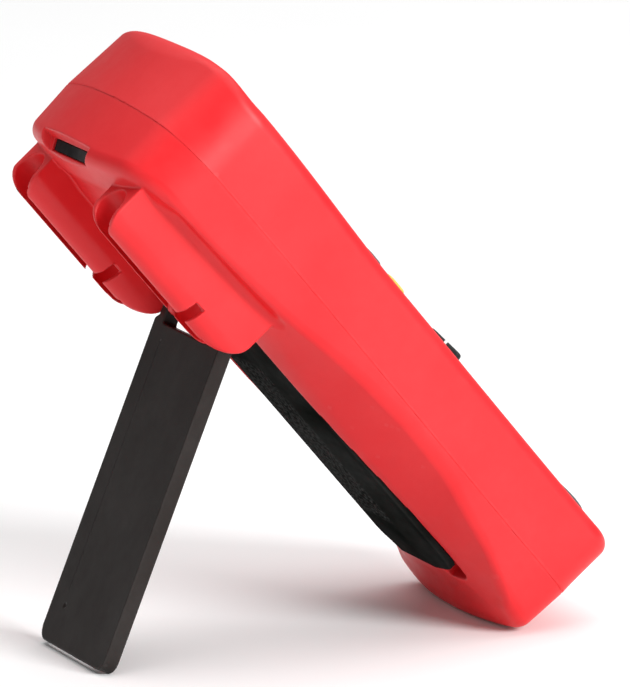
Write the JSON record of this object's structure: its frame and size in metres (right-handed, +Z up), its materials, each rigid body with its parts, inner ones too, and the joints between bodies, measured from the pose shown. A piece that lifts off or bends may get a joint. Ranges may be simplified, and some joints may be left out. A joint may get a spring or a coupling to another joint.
{
  "type": "handheld digital multimeter",
  "caption": "Handheld digital multimeter leaning on its open rear tilt stand, with probe clips on the back, keys and a rotary selector on the face.",
  "frame": {"origin": "on the table surface, at the centre of the part's bounding box seen from above", "axes": "+Z up; X along the stand's hinge, across the meter; the display faces up and towards -Y, and the open stand reaches down at +Y"},
  "size_m": [0.0814, 0.1366, 0.1567],
  "materials": {
    "battery_jacket": "lacquered jacket",
    "black_plastic": "satin black",
    "board_green": "solder resist",
    "brass": "plated",
    "ceramic": "glazed tube",
    "chip_black": "moulded epoxy",
    "clear_lens": "polished clear",
    "component_blue": "dipped coating",
    "component_yellow": "moulded",
    "grey_key": "matt",
    "infrared_window": "polished dark",
    "lcd_grey": "polarised glass",
    "panel_grey": "fine-grained dark grey",
    "red_case": "soft satin moulded red",
    "rubber_grey": "matt",
    "stand_plastic": "fine-grained brown-black",
    "steel": "plated",
    "white_plastic": "satin",
    "yellow_key": "matt"
  },
  "bodies": {
    "case": {"backlight": "white_plastic", "battery_cover": "black_plastic", "battery_left": "battery_jacket", "battery_link": "steel", "battery_right": "battery_jacket", "battery_spring_left": "steel", "battery_spring_right": "steel", "battery_tray": "black_plastic", "buzzer": "chip_black", "case_gasket": "rubber_grey", "case_screw_1": "steel", "case_screw_2": "steel", "case_screw_3": "steel", "case_screw_4": "steel", "cover_screw": "steel", "current_shunt": "brass", "detent_spring": "steel", "display_frame": "white_plastic", "display_window": "clear_lens", "film_capacitor": "component_yellow", "front_case": "red_case", "front_panel": "panel_grey", "fuse_high_current": "ceramic", "fuse_high_current_clip_0": "brass", "fuse_high_current_clip_1": "brass", "fuse_low_current": "ceramic", "fuse_low_current_clip_0": "brass", "fuse_low_current_clip_1": "brass", "infrared_led": "infrared_window", "jack_block": "black_plastic", "jack_common": "brass", "jack_high_current": "brass", "jack_low_current": "brass", "jack_volts": "brass", "keypad_membrane": "rubber_grey", "lcd_glass": "lcd_grey", "main_board": "board_green", "meter_chip": "chip_black", "port_window": "infrared_window", "probe_clip_left": "red_case", "probe_clip_right": "red_case", "processor_chip": "chip_black", "quartz_crystal": "steel", "rear_case": "red_case", "thermistor": "component_yellow", "varistor": "component_blue", "zebra_strip": "rubber_grey"},
    "stand": {"tilt_stand": "stand_plastic"},
    "selector": {"selector_knob": "black_plastic", "switch_rotor": "white_plastic", "rotor_wiper": "brass"},
    "button_select_key": {"button_select": "yellow_key"},
    "button_hold_key": {"button_hold": "grey_key"},
    "button_range_key": {"button_range": "grey_key"},
    "button_relative_key": {"button_relative": "grey_key"},
    "button_peak_key": {"button_peak": "grey_key"},
    "button_light_key": {"button_light": "grey_key"}
  },
  "joints": [
    {"name": "stand_fold", "type": "hinge", "parent": "case", "child": "stand", "pos_m": [0, 0.02975, 0.08545], "axis": [1, 0, 0], "range_deg": [-62.4, 0]},
    {"name": "selector_turn", "type": "hinge", "parent": "case", "child": "selector", "pos_m": [0, -0.03355, 0.0653], "axis": [0, -0.777, 0.6296], "range_deg": [-180, 60]},
    {"name": "button_select_press", "type": "slide", "parent": "case", "child": "button_select_key", "axis": [0, 0.777, -0.6296], "range_m": [0, 0.0009], "stiffness_N_per_m": 600},
    {"name": "button_hold_press", "type": "slide", "parent": "case", "child": "button_hold_key", "axis": [0, 0.777, -0.6296], "range_m": [0, 0.0009], "stiffness_N_per_m": 600},
    {"name": "button_range_press", "type": "slide", "parent": "case", "child": "button_range_key", "axis": [0, 0.777, -0.6296], "range_m": [0, 0.0009], "stiffness_N_per_m": 600},
    {"name": "button_relative_press", "type": "slide", "parent": "case", "child": "button_relative_key", "axis": [0, 0.777, -0.6296], "range_m": [0, 0.0009], "stiffness_N_per_m": 600},
    {"name": "button_peak_press", "type": "slide", "parent": "case", "child": "button_peak_key", "axis": [0, 0.777, -0.6296], "range_m": [0, 0.0009], "stiffness_N_per_m": 600},
    {"name": "button_light_press", "type": "slide", "parent": "case", "child": "button_light_key", "axis": [0, 0.777, -0.6296], "range_m": [0, 0.0009], "stiffness_N_per_m": 600}
  ]
}
